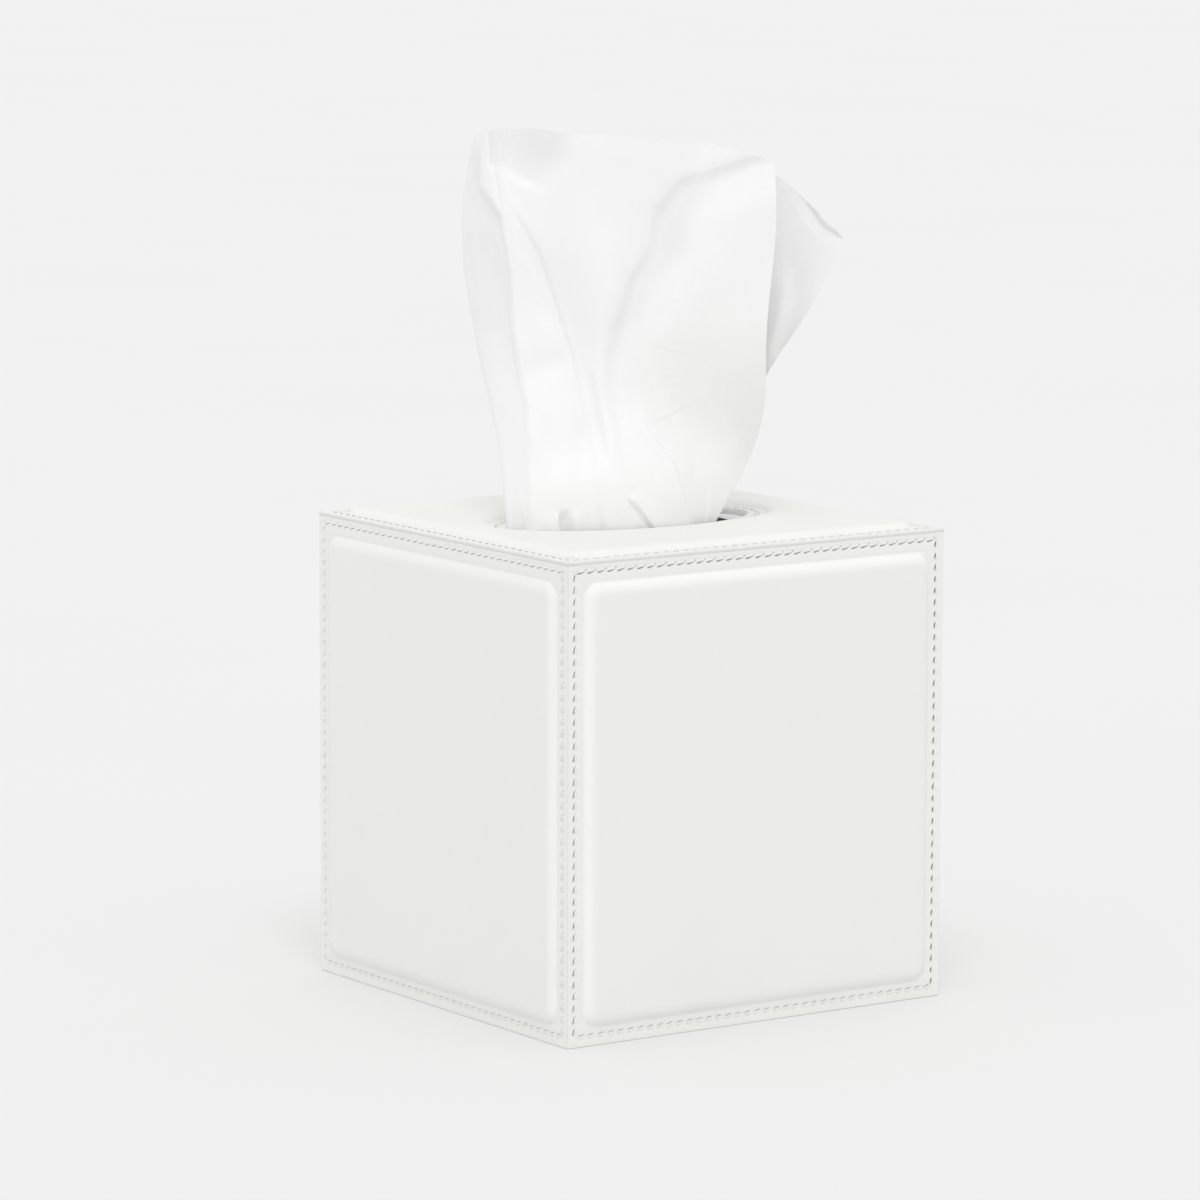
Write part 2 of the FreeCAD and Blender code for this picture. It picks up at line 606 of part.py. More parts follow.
def rounded_row(row, steps=2):
    """More points between the stations of one row, on a smooth curve through them."""
    made = []
    last = len(row) - 1
    for i in range(last):
        before, here, there, after = row[max(i - 1, 0)], row[i], row[i + 1], row[min(i + 2, last)]
        for k in range(steps):
            v = k / steps
            bend = before * 2 - here * 5 + there * 4 - after
            twist = here * 3 - before - there * 3 + after
            made.append((here * 2 + (there - before) * v + bend * v ** 2 + twist * v ** 3) * 0.5)
    return made + [row[last]]


def across(grid, r, c):
    """Unit vector square to the sheet at point r, c of the grid."""
    rows, columns = len(grid) - 1, len(grid[0]) - 1
    up = grid[min(r + 1, rows)][c] - grid[max(r - 1, 0)][c]
    along = grid[r][min(c + 1, columns)] - grid[r][max(c - 1, 0)]
    if r == 0:
        up = Vector(0, 0, 1)
    return up.cross(along).normalize()


def facets(corners):
    """Two triangles over four corners."""
    a, b, c, d = corners
    return [Part.Face(Part.makePolygon(list(three) + [three[0]])) for three in ((a, b, c), (a, c, d))]


def drawn_sheet():
    """The drawn sheet: a thin crumpled solid, laid through the stations at every height."""
    heights = [[z] * len(SHEET_TOP) for z in SHEET_FALL]
    heights += [[top * share for top in SHEET_TOP] for share in SHEET_SHARES]
    grid = [rounded_row([sheet_point(i, z) for i, z in enumerate(row)]) for row in heights]
    rows, columns = len(grid), len(grid[0])
    half = size("tissue") / 2
    one, two = ([[grid[r][c] + across(grid, r, c) * off for c in range(columns)] for r in range(rows)]
                for off in (half, -half))
    faces = []
    for r in range(rows - 1):
        for c in range(columns - 1):
            for side in (one, two):
                faces += facets([side[r][c], side[r][c + 1], side[r + 1][c + 1], side[r + 1][c]])
        for c in (0, columns - 1):
            faces += facets([one[r][c], two[r][c], two[r + 1][c], one[r + 1][c]])
    for r in (0, rows - 1):
        for c in range(columns - 1):
            faces += facets([one[r][c], one[r][c + 1], two[r][c + 1], two[r][c]])
    shell = Part.makeShell(faces)
    shell.sewShape()
    solid = Part.makeSolid(shell)
    if solid.Volume < 0:
        solid.reverse()
    feature = doc.addObject("Part::Feature", "tissue_sheet")
    feature.Shape = solid
    return feature


def main():
    fill_sheet()
    nodes = {}
    nodes.update(wall_panels())
    nodes.update(top_panel())
    nodes.update(boards())
    nodes.update(linings())
    nodes.update(carton())
    nodes.update(seams())
    nodes["tissue_sheet"] = drawn_sheet()
    doc.recompute()
    return nodes


nodes = main()
for name, thing in nodes.items():
    broken = [state for state in thing.State if state in ("Invalid", "Error")]
    shape = thing.Shape
    if broken or shape.isNull() or not shape.isValid():
        raise RuntimeError(f"{name} did not build: {broken}")
os.makedirs("parts", exist_ok=True)
for name, thing in nodes.items():
    thing.Label = name
    thing.Shape.exportStep(f"parts/{name}.step")
print(len(nodes), "nodes")
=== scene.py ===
"""Looks of the tissue box: stitched padded leather, card and a drawn paper tissue.

Lengths are in mm.
"""

import math

import bpy
import numpy as np
from mathutils import Matrix, Vector


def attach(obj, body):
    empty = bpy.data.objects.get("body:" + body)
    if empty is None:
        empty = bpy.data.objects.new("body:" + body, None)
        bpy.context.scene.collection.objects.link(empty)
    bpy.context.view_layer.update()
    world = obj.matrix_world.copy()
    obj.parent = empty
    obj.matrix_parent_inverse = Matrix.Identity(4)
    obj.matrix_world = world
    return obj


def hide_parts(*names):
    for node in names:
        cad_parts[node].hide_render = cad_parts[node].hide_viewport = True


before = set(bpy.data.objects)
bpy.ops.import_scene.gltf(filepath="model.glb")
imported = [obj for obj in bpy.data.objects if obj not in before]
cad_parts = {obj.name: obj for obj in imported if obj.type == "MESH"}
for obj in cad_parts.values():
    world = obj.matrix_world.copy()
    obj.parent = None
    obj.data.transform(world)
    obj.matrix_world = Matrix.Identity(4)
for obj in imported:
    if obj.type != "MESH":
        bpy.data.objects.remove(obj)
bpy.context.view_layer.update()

# Cover, over the rims of its panels
WIDTH, DEPTH, HEIGHT = 135.0, 135.0, 142.0
SKIN = 1.2  # thickness of the leather
RIM = 5.5  # flat rim round a raised field
RISE, PUFF = 1.5, 4.6  # how high a field rises over the rim, and over what distance
CORNER = 5.0  # radius of a field's corners
OPENING = (41.5, 21.0)  # half length and half width of the oval
CREASE = (0.12, 0.5)  # depth and half width of the crease at a field's foot

# Stitches
INSET, CORNER_INSET, PITCH = 3.0, 2.6, 3.45
STITCH = (1.36, 0.29)  # half length and radius
CORNER_SHARE = 0.66  # how long the stitches at the upright edges are beside the others

# Edges of a skin: how round each kind is, how far a foot is turned in, how much of a hidden end is drawn
EDGE, FOOT_EDGE, CUT_EDGE, HOLE_EDGE = 0.12, 0.2, 0.14, 0.09
TURN_IN, MITRE_END, CUT_END = 4.5, 1.2, 1.5

# Distances between the points of a panel: at stitches and swells, and in the middle of a field
FINE, NEAR, COARSE, NEAR_REACH = 0.3, 0.5, 2.0, 9.0
RING_POINTS = 600


# Smooth noise

def noise_grid(seed, rows, columns):
    return np.random.RandomState(seed).uniform(-1, 1, (rows, columns))


def noise(x, y, seed, size=64):
    """Smooth noise from -1 to 1, one cell per unit of x and y."""
    table = noise_grid(seed, size, size)
    i, j = np.floor(x).astype(int), np.floor(y).astype(int)
    u, v = x - i, y - j
    u, v = u * u * (3 - 2 * u), v * v * (3 - 2 * v)
    at = lambda a, b: table[a % size, b % size]
    low = at(i, j) * (1 - u) + at(i + 1, j) * u
    high = at(i, j + 1) * (1 - u) + at(i + 1, j + 1) * u
    return low * (1 - v) + high * v


def smooth(edge0, edge1, x):
    share = np.clip((x - edge0) / (edge1 - edge0), 0, 1)
    return share * share * (3 - 2 * share)


# Meshes

def build_mesh(name, points, faces, material, attributes=None):
    """Object from points in mm."""
    mesh = bpy.data.meshes.new(name)
    mesh.from_pydata((np.asarray(points) / 1000).tolist(), [], faces)
    for key, values in (attributes or {}).items():
        layer = mesh.attributes.new(key, "FLOAT", "POINT")
        layer.data.foreach_set("value", np.asarray(values, np.float32))
    mesh.polygons.foreach_set("use_smooth", [True] * len(mesh.polygons))
    mesh.materials.append(material)
    mesh.update()
    thing = bpy.data.objects.new(name, mesh)
    bpy.context.scene.collection.objects.link(thing)
    return thing


def grid_faces(rows, columns, start=0, flip=False, wrap=False):
    """Quads over a grid of points numbered row by row. wrap joins the last column to the first."""
    r = np.arange(rows - 1)[:, None] * columns
    c = np.arange(columns if wrap else columns - 1)[None, :]
    after = (c + 1) % columns
    quads = np.stack([r + c, r + after, r + columns + after, r + columns + c], -1).reshape(-1, 4) + start
    return (quads[:, ::-1] if flip else quads).tolist()


# Stitch lines of a panel, in its own flat coordinates

# Slit beside a stitch, darkened with painted shade: half length, half width, place across the line,
# lean, and how dark its painted shade is. The _soft kinds paint fainter shade.
MARKS = {"edge": (1.75, 0.27, 0.34, -0.34, 0.85), "edge_soft": (1.5, 0.25, 0.3, -0.25, 0.42),
         "corner_left": (0.95, 0.46, -0.22, 0.30, 0.9), "corner_right": (0.95, 0.42, 0.22, -0.30, 0.9),
         "corner_left_soft": (0.9, 0.42, -0.22, 0.30, 0.4),
         "corner_right_soft": (0.95, 0.46, 0.36, -0.30, 0.85), "top": (1.3, 0.32, -0.45, -0.10, 0.7),
         "hem": (1.0, 0.26, 0.25, 0.25, 0.3), "ring": (1.3, 0.30, 0.3, 0.12, 0.8)}


def row(start, end, inner, kind):
    """A line of stitches from start to end. inner points from the line to the raised field."""
    start, end = np.array(start, float), np.array(end, float)
    run = np.linalg.norm(end - start)
    count = int(round(run / PITCH))
    return {"start": start, "along": (end - start) / run, "inner": np.array(inner, float), "run": run,
            "step": run / count, "kind": kind}


def stitch_marks(a, b, rows):
    """Hollow of the leather, in mm, and how much painted shade its stitch slits get, from 0 to 1."""
    hollow, slit_shade = np.zeros_like(a), np.zeros_like(a)
    for r in rows:
        p = (a - r["start"][0]) * r["along"][0] + (b - r["start"][1]) * r["along"][1]
        q = (a - r["start"][0]) * r["inner"][0] + (b - r["start"][1]) * r["inner"][1]
        inside = (p >= 0) & (p <= r["run"])
        marks(p, q, inside, r["step"], r["kind"], hollow, slit_shade)
    return hollow, slit_shade


def marks(p, q, inside, step, kind, hollow, slit_shade):
    """Adds one line's marks: hollows and painted shade in the slits. p runs along the line and q across
    it, towards the field.
    """
    long, wide, place, lean, dark = MARKS[kind]
    u = p - (np.floor(p / step) + 0.5) * step
    near = inside & (np.abs(q) < 2.5)
    between = 0.5 - 0.5 * np.cos(2 * np.pi * u / step)
    dip = 0.10 * np.exp(-(q / 0.8) ** 2) + 0.12 * np.exp(-(q / 1.2) ** 2) * between
    bow = place + 0.12 - 0.16 * (u / long) ** 2 + lean * u
    width = wide * np.sqrt(np.clip(1 - (u / long) ** 2, 0, 1)) + 1e-4
    open_share = smooth(0, 0.7, 1 - np.abs(q - bow) / width)
    hollow += np.where(near, dip + 0.3 * open_share, 0)
    # Painted shade in the slit, darker as the slit opens
    np.maximum(slit_shade, np.where(near, dark * open_share, 0), out=slit_shade)


# Padded panels

def field_depth(a, b, half_a, half_b):
    """Distance inwards from the raised field's outline, a rectangle with round corners."""
    qa, qb = np.abs(a) - (half_a - CORNER), np.abs(b) - (half_b - CORNER)
    outside = np.hypot(np.maximum(qa, 0), np.maximum(qb, 0))
    return CORNER - outside - np.minimum(np.maximum(qa, qb), 0)


def puff(depth):
    """Height of the field over the rim."""
    share = np.clip(depth / PUFF, 0, 1)
    return RISE * (1 - (1 - share) ** 2.9) - field_crease(depth)


def field_crease(depth):
    """Depth of the crease along the field's outline."""
    return CREASE[0] * np.exp(-(depth / CREASE[1]) ** 2)


def wobble(a, b, seed):
    """Slight unevenness of soft leather."""
    return 0.09 * noise(a / 26 + 5, b / 26 + 9, seed) + 0.035 * noise(a / 9 + 3, b / 9 + 1, seed + 1)


def fold(end):
    """How a panel turns over at its edge. Pairs: how far short of the edge, how far inwards."""
    if end == "mitre":
        turn = np.radians(np.linspace(0, 135, 9))
        over = EDGE * math.tan(math.radians(67.5)) - EDGE * np.sin(turn)
        deep = EDGE * (1 - np.cos(turn))
        tail = np.array([[over[-1] + MITRE_END, deep[-1] + MITRE_END]])
    else:
        foot = end == "foot"
        radius, steps = (FOOT_EDGE, 6) if foot else (CUT_EDGE, 5)
        turn = np.radians(np.linspace(0, 90, steps))
        over = radius * (1 - np.sin(turn))
        deep = radius * (1 - np.cos(turn))
        tail = np.array([[0, TURN_IN], [SKIN, TURN_IN]] if foot else [[0, SKIN], [CUT_END, SKIN]])
    return np.vstack([np.stack([over, deep], 1), tail])


def edge_path(size, low_end, high_end, step):
    """Stations over a panel's whole extent, from its low end: place and depth inwards."""
    low, high = fold(low_end), fold(high_end)
    left = [(-size / 2 + o, d) for o, d in low[::-1]]
    right = [(size / 2 - o, d) for o, d in high]
    first, last = left[-1][0], right[0][0]
    count = max(int((last - first) / step), 2)
    middle = [(first + (last - first) * k / count, 0.0) for k in range(1, count)]
    return np.array(left + middle + right)


def split_path(size, low_end, high_end):
    """The same path cut at the field: low rim, field, high rim."""
    path = edge_path(size, low_end, high_end, FINE)
    cut = size / 2 - RIM
    low = np.vstack([path[path[:, 0] < -cut - 1e-6], [[-cut, 0.0]]])
    high = np.vstack([[[cut, 0.0]], path[path[:, 0] > cut + 1e-6]])
    near = np.arange(0, NEAR_REACH, NEAR)
    far = np.linspace(NEAR_REACH, 2 * cut - NEAR_REACH, int((2 * cut - 2 * NEAR_REACH) / COARSE))
    field = np.concatenate([near, far, 2 * cut - near[::-1]]) - cut
    return low, np.stack([field, np.zeros_like(field)], 1), high


def panel(name, size_a, size_b, ends, rows, seed, place, highlight, hole=False):
    """Padded leather panel. place(a, b, out) gives its points, out of the rim's plane, in mm.

    The argument after place says how strong the painted highlight on the field's swell is at its low a,
    high a, low b and high b side.
    """
    low_a, field_a, high_a = split_path(size_a, ends[0], ends[1])
    low_b, field_b, high_b = split_path(size_b, ends[2], ends[3])
    whole_a = edge_path(size_a, ends[0], ends[1], FINE)
    cut_b = size_b / 2 - RIM
    fine_b = np.linspace(-cut_b, cut_b, int(2 * cut_b / FINE))
    fine_b = np.stack([fine_b, np.zeros_like(fine_b)], 1)
    pairs = [(whole_a, low_b), (whole_a, high_b), (low_a, fine_b), (high_a, fine_b)]
    if not hole:
        pairs.append((field_a, field_b))
    patches = []
    for path_a, path_b in pairs:
        a, b = np.meshgrid(path_a[:, 0], path_b[:, 0])
        patches.append((a, b, np.maximum(path_a[None, :, 1], path_b[:, None, 1]), False))
    if hole:
        a, b = hole_patch(size_a, size_b)
        deep = np.zeros_like(a)
        deep[0], deep[1], deep[2] = SKIN, EDGE, HOLE_EDGE
        patches.append((a, b, deep, True))

    points, faces, slit_shades, crests, start = [], [], [], [], 0
    for a, b, deep, ring in patches:
        out, slit_shade, crest = relief(a, b, deep, size_a, size_b, rows, seed, highlight, ring)
        points.append(place(a, b, out).reshape(-1, 3))
        slit_shades.append(slit_shade.reshape(-1))
        crests.append(crest.reshape(-1))
        faces.extend(grid_faces(a.shape[0], a.shape[1], start, wrap=ring))
        start += a.size
    # Painted shade in the stitch slits and painted highlight on the swell, kept as mesh attributes
    marked = {"slit_shade": np.concatenate(slit_shades), "crest": np.concatenate(crests)}
    return build_mesh(name, np.concatenate(points), faces, leather, marked)


def hole_patch(size_a, size_b):
    """Points from the opening's edge out to the field's outline, ring by ring."""
    turn = np.linspace(0, 2 * np.pi, RING_POINTS + 1)[:-1]
    edge = np.stack([OPENING[0] * np.cos(turn), OPENING[1] * np.sin(turn)], 1)
    out = np.stack([np.cos(turn) / OPENING[0], np.sin(turn) / OPENING[1]], 1)
    out /= np.linalg.norm(out, axis=1)[:, None]
    rings = [edge, edge, edge + out * HOLE_EDGE]
    steps = np.concatenate([np.arange(FINE, RIM, FINE), np.arange(RIM, 12.6, 0.4)])
    rings += [edge + out * step for step in steps]
    last = rings[-1]
    half = np.array([size_a / 2 - RIM, size_b / 2 - RIM])
    reach = np.min(half[None, :] / np.maximum(np.abs(last), 1e-9), axis=1)
    outer = last * reach[:, None]
    for share in np.concatenate([np.linspace(0, 0.7, 22)[1:], np.linspace(0.7, 1, 26)[1:]]):
        rings.append(last + (outer - last) * share)
    rings = np.array(rings)
    return rings[..., 0], rings[..., 1]


def ellipse_depth(a, b):
    """Distance outwards from the opening's edge, nearly."""
    k0 = np.hypot(a / OPENING[0], b / OPENING[1])
    k1 = np.hypot(a / OPENING[0] ** 2, b / OPENING[1] ** 2)
    return k0 * (k0 - 1) / np.maximum(k1, 1e-9)


def side_highlight(a, b, half_a, half_b, highlight):
    """How strong the painted highlight on the swell of the nearest side is. Sides blend into each other
    at the corners.
    """
    away = np.stack([half_a + a, half_a - a, half_b + b, half_b - b])
    near = np.exp(-np.clip(away - away.min(0), 0, 30) / 1.2)
    return np.tensordot(np.array(highlight, float), near, 1) / near.sum(0)


def relief(a, b, deep, size_a, size_b, rows, seed, highlight, ring):
    """How far a patch stands out of the rim's plane, how much painted shade its stitch slits get, and
    how much painted highlight its swell gets.
    """
    half_a, half_b = size_a / 2 - RIM, size_b / 2 - RIM
    depth = field_depth(a, b, half_a, half_b)
    if ring:
        depth = np.minimum(depth, ellipse_depth(a, b) - RIM)
    rise = np.where(depth > 0, puff(np.maximum(depth, 0)), 0)
    rise = rise - np.where((depth <= 0) & (depth > -2), field_crease(depth), 0)
    rise = rise + wobble(a, b, seed) * smooth(0, 9, depth)
    hollow, slit_shade = stitch_marks(a, b, rows)
    if ring:
        ring_marks(a, b, hollow, slit_shade)
    flat = deep < 0.05
    # Painted highlight: paler leather on the swell, as if light caught the rising edge of the field
    swell = smooth(-0.8, 0.5, depth) * (1 - smooth(1.1, 4.2, depth))
    crest = flat * swell * side_highlight(a, b, half_a, half_b, highlight)
    return np.where(flat, rise - hollow, -deep), slit_shade * flat, crest


def ring_marks(a, b, hollow, slit_shade):
    """Marks of the stitches round the opening: hollows and painted shade in the slits."""
    reach = (OPENING[0] + INSET, OPENING[1] + INSET)
    turn, length = ellipse_run(*reach)
    count = int(round(length[-1] / PITCH))
    angle = np.arctan2(b / reach[1], a / reach[0]) % (2 * np.pi)
    p = np.interp(angle, turn, length)
    q = ellipse_depth(a, b) - INSET
    marks(p, q, np.ones_like(a, bool), length[-1] / count, "ring", hollow, slit_shade)


def ellipse_run(a, b):
    """Angle and length run along an ellipse."""
    turn = np.linspace(0, 2 * np.pi, 4001)
    x, y = a * np.cos(turn), b * np.sin(turn)
    return turn, np.concatenate([[0], np.cumsum(np.hypot(np.diff(x), np.diff(y)))])


# Thread

def thread_form():
    """One visible stitch about the origin: along x, out along z."""
    stations, sides = 11, 10
    half, radius = STITCH
    u = np.linspace(-1, 1, stations)
    thick = radius * np.sqrt(np.clip(1 - np.abs(u) ** 5 * 0.75, 0, 1))
    lift = 0.03 - 0.42 * np.abs(u) ** 4
    turn = np.linspace(0, 2 * np.pi, sides + 1)[:-1]
    points = [[u[i] * half, thick[i] * 1.08 * math.cos(t), lift[i] + thick[i] * 0.86 * math.sin(t)]
              for i in range(stations) for t in turn]
    faces = grid_faces(stations, sides, wrap=True, flip=True)
    faces.append(list(range(sides)))
    faces.append([(stations - 1) * sides + k for k in range(sides)][::-1])
    return np.array(points), faces


FORM, FORM_FACES = thread_form()


def thread_piece(name, places, material):
    """One seam's stitches, each from its centre, way along the line, way out, lean and length."""
    points, faces = [], []
    random = np.random.RandomState(len(name))
    for centre, along, out, lean, share in places:
        along = np.array(along, float)
        out = np.array(out, float)
        side = np.cross(out, along)
        angle = math.radians(lean + random.uniform(-2, 2))
        x = along * math.cos(angle) + side * math.sin(angle)
        y = np.cross(out, x)
        size = random.uniform(0.95, 1.05)
        start = len(points) * len(FORM)
        form = FORM[:, :1] * x * share + FORM[:, 1:2] * y * size + FORM[:, 2:] * out * size
        points.append(np.array(centre) + form)
        faces += [[i + start for i in face] for face in FORM_FACES]
    return build_mesh(name, np.concatenate(points), faces, material)


def line_places(start, end, out, lean, share=1.0):
    """Stitches from start to end. share shortens each one."""
    start, end = np.array(start, float), np.array(end, float)
    run = np.linalg.norm(end - start)
    count = int(round(run / PITCH))
    along = (end - start) / run
    return [(start + along * run * (i + 0.5) / count, along, out, lean, share) for i in range(count)]


# Materials

def new_material(name):
    """Material with its nodes, its links and a plain shader."""
    material = bpy.data.materials.new(name)
    material.use_nodes = True
    nodes = material.node_tree.nodes
    nodes.clear()
    output = nodes.new("ShaderNodeOutputMaterial")
    shader = nodes.new("ShaderNodeBsdfPrincipled")
    material.node_tree.links.new(shader.outputs[0], output.inputs["Surface"])
    return material, nodes, material.node_tree.links, shader


def coordinates(nodes, links, scale):
    """Object coordinates in mm times scale."""
    place = nodes.new("ShaderNodeTexCoord")
    mapping = nodes.new("ShaderNodeMapping")
    mapping.inputs["Scale"].default_value = [s * 1000 for s in scale]
    links.new(place.outputs["Object"], mapping.inputs["Vector"])
    return mapping.outputs["Vector"]


def noise_node(nodes, links, vector, scale, detail=4.0, rough=0.5):
    node = nodes.new("ShaderNodeTexNoise")
    node.inputs["Scale"].default_value = scale
    node.inputs["Detail"].default_value = detail
    node.inputs["Roughness"].default_value = rough
    links.new(vector, node.inputs["Vector"])
    return node.outputs["Fac"]


def ramp(nodes, links, value, low, high, colour_low, colour_high):
    """Colour that goes from one to the other while the value goes from low to high."""
    node = nodes.new("ShaderNodeMapRange")
    node.inputs["From Min"].default_value = low
    node.inputs["From Max"].default_value = high
    links.new(value, node.inputs["Value"])
    mix = nodes.new("ShaderNodeMix")
    mix.data_type = "RGBA"
    mix.inputs["A"].default_value = (*colour_low, 1)
    mix.inputs["B"].default_value = (*colour_high, 1)
    links.new(node.outputs["Result"], mix.inputs["Factor"])
    return mix.outputs["Result"]


def mottle(nodes, links, vector, scale, low, high):
    """Colour that drifts between two tones."""
    return ramp(nodes, links, noise_node(nodes, links, vector, scale), 0.3, 0.7, low, high)


def mixed(nodes, links, attribute, tone, colour):
    """The tone where the mesh attribute is 0, the colour where it is 1."""
    mark = nodes.new("ShaderNodeAttribute")
    mark.attribute_name = attribute
    mix = nodes.new("ShaderNodeMix")
    mix.data_type = "RGBA"
    mix.inputs["B"].default_value = (*colour, 1)
    links.new(mark.outputs["Fac"], mix.inputs["Factor"])
    links.new(tone, mix.inputs["A"])
    return mix.outputs["Result"]


def bump(nodes, links, shader, height, strength, distance, before=None):
    """Fine relief. height is its pattern and before a coarser relief that it lies on."""
    node = nodes.new("ShaderNodeBump")
    node.inputs["Strength"].default_value = strength
    node.inputs["Distance"].default_value = distance / 1000
    links.new(height, node.inputs["Height"])
    if before is not None:
        links.new(before, node.inputs["Normal"])
    links.new(node.outputs["Normal"], shader.inputs["Normal"])
    return node.outputs["Normal"]


LEATHER = (0.845, 0.853, 0.815)
# Paler leather for the painted highlight on the fields' swells
HIGHLIGHT_LEATHER = tuple(c * 1.075 for c in LEATHER)
# Painted shade in the stitch slits
SLIT_SHADE = (0.11, 0.105, 0.09)


def leather_material(marked):
    """Leather with pores. Where marked, also with painted shade in the stitch slits and a painted
    highlight on the swell round the field.
    """
    material, nodes, links, shader = new_material("leather" if marked else "leather_plain")
    vector = coordinates(nodes, links, (1, 1, 1))
    tone = mottle(nodes, links, vector, 0.03, tuple(c * 0.982 for c in LEATHER), LEATHER)
    if marked:
        # Painted highlight on the swells, then painted shade in the stitch slits
        tone = mixed(nodes, links, "crest", tone, HIGHLIGHT_LEATHER)
        tone = mixed(nodes, links, "slit_shade", tone, SLIT_SHADE)
    links.new(tone, shader.inputs["Base Color"])
    shader.inputs["Roughness"].default_value = 0.42
    shader.inputs["Specular IOR Level"].default_value = 0.5
    pores = nodes.new("ShaderNodeTexVoronoi")
    pores.inputs["Scale"].default_value = 1.7
    links.new(vector, pores.inputs["Vector"])
    first = bump(nodes, links, shader, pores.outputs["Distance"], 0.12, 0.06)
    bump(nodes, links, shader, noise_node(nodes, links, vector, 0.35, 5.0, 0.6), 0.25, 0.10, first)
    return material


def thread_material():
    material, nodes, links, shader = new_material("thread")
    vector = coordinates(nodes, links, (1, 1, 1))
    tone = mottle(nodes, links, vector, 1.6, (0.80, 0.80, 0.77), (0.90, 0.90, 0.88))
    links.new(tone, shader.inputs["Base Color"])
    shader.inputs["Roughness"].default_value = 0.7
    wave = nodes.new("ShaderNodeTexWave")
    wave.inputs["Scale"].default_value = 1.1
    wave.inputs["Distortion"].default_value = 1.0
    wave.bands_direction = "DIAGONAL"
    links.new(vector, wave.inputs["Vector"])
    bump(nodes, links, shader, wave.outputs["Fac"], 0.5, 0.06)
    return material


def plain_material(name, low, high, scale, rough, grain, depth):
    """Even matter with slight mottling and a fine grain."""
    material, nodes, links, shader = new_material(name)
    vector = coordinates(nodes, links, (1, 1, 1))
    links.new(mottle(nodes, links, vector, scale, low, high), shader.inputs["Base Color"])
    shader.inputs["Roughness"].default_value = rough
    bump(nodes, links, shader, noise_node(nodes, links, vector, grain, 3.0), 0.4, depth)
    return material


def tissue_material():
    material, nodes, links, shader = new_material("tissue")
    vector = coordinates(nodes, links, (1, 1, 1))
    tone = mottle(nodes, links, vector, 0.05, (0.893, 0.893, 0.893), (0.905, 0.905, 0.905))
    # Darker tone where the sheet carries painted shade along its curl, its folds and its dent
    links.new(mixed(nodes, links, "fold_shade", tone, (0.845, 0.845, 0.847)), shader.inputs["Base Color"])
    shader.inputs["Roughness"].default_value = 0.9
    shader.inputs["Specular IOR Level"].default_value = 0.1
    crepe = coordinates(nodes, links, (1, 1, 0.35))
    first = bump(nodes, links, shader, noise_node(nodes, links, crepe, 1.6, 3.0), 0.25, 0.08)
    bump(nodes, links, shader, noise_node(nodes, links, vector, 0.12, 4.0, 0.6), 0.5, 0.5, first)
    return material


def floor_material():
    material, nodes, links, shader = new_material("floor")
    vector = coordinates(nodes, links, (1, 1, 1))
    tone = mottle(nodes, links, vector, 0.004, (0.826, 0.826, 0.826), (0.832, 0.832, 0.832))
    links.new(tone, shader.inputs["Base Color"])
    shader.inputs["Roughness"].default_value = 0.9
    shader.inputs["Specular IOR Level"].default_value = 0.0
    return material


leather = leather_material(True)
leather_plain = leather_material(False)
thread = thread_material()
tissue = tissue_material()
board = plain_material("board", (0.5, 0.46, 0.39), (0.56, 0.52, 0.45), 0.3, 0.85, 1.5, 0.1)
foam = plain_material("foam", (0.84, 0.84, 0.78), (0.9, 0.9, 0.85), 0.2, 0.95, 2.0, 0.2)
lining = plain_material("lining", (0.76, 0.755, 0.70), (0.81, 0.805, 0.76), 0.12, 0.9, 1.8, 0.12)
card = plain_material("card", (0.82, 0.82, 0.80), (0.86, 0.86, 0.84), 0.08, 0.6, 0.9, 0.02)
stack = plain_material("stack", (0.90, 0.90, 0.90), (0.93, 0.93, 0.93), 0.06, 0.95, 1.5, 0.12)

MATTER = {"leather": leather_plain, "opening_facing": leather_plain, "board": board, "foam": foam,
          "lining": lining, "thread": thread, "tissue_carton": card, "tissue_stack": stack,
          "tissue_sheet": tissue}
for node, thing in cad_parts.items():
    for key, material in MATTER.items():
        if node.startswith(key):
            thing.data.materials.clear()
            thing.data.materials.append(material)


# Leather panels

def frame_rows(size_a, size_b):
    """The four lines of stitches along a panel's edges."""
    ha, hb = size_a / 2 - INSET, size_b / 2 - INSET
    return [row((-ha, hb), (ha, hb), (0, -1), "top"), row((-ha, -hb), (ha, -hb), (0, 1), "top"),
            row((-ha, -hb), (-ha, hb), (1, 0), "top"), row((ha, -hb), (ha, hb), (-1, 0), "top")]


# Each wall's width, distance from the middle and turn
WALLS = {"front": (WIDTH, DEPTH / 2, 0), "right": (DEPTH, WIDTH / 2, 90),
         "back": (WIDTH, DEPTH / 2, 180), "left": (DEPTH, WIDTH / 2, 270)}
wall_tall = HEIGHT - SKIN


def wall_place(off, degrees):
    """Puts a wall's flat points, given from its middle, on its own side of the box."""
    c, s = math.cos(math.radians(degrees)), math.sin(math.radians(degrees))

    def place(a, b, out):
        x, y, z = a, -(off + out), b + wall_tall / 2
        return np.stack([x * c - y * s, x * s + y * c, z], -1)

    return place


def wall_rows(size_a, soft):
    """A wall's stitches stand as far from the foot and the top edge as from its sides."""
    ha, hc = size_a / 2 - INSET, size_a / 2 - CORNER_INSET
    low, high = INSET - wall_tall / 2, HEIGHT - INSET - wall_tall / 2
    edge, left, right = (kind + "_soft" * soft for kind in ("edge", "corner_left", "corner_right"))
    return [row((-ha, high), (ha, high), (0, -1), edge), row((-ha, low), (ha, low), (0, 1), "hem"),
            row((-hc, low), (-hc, high), (1, 0), left), row((hc, low), (hc, high), (-1, 0), right)]


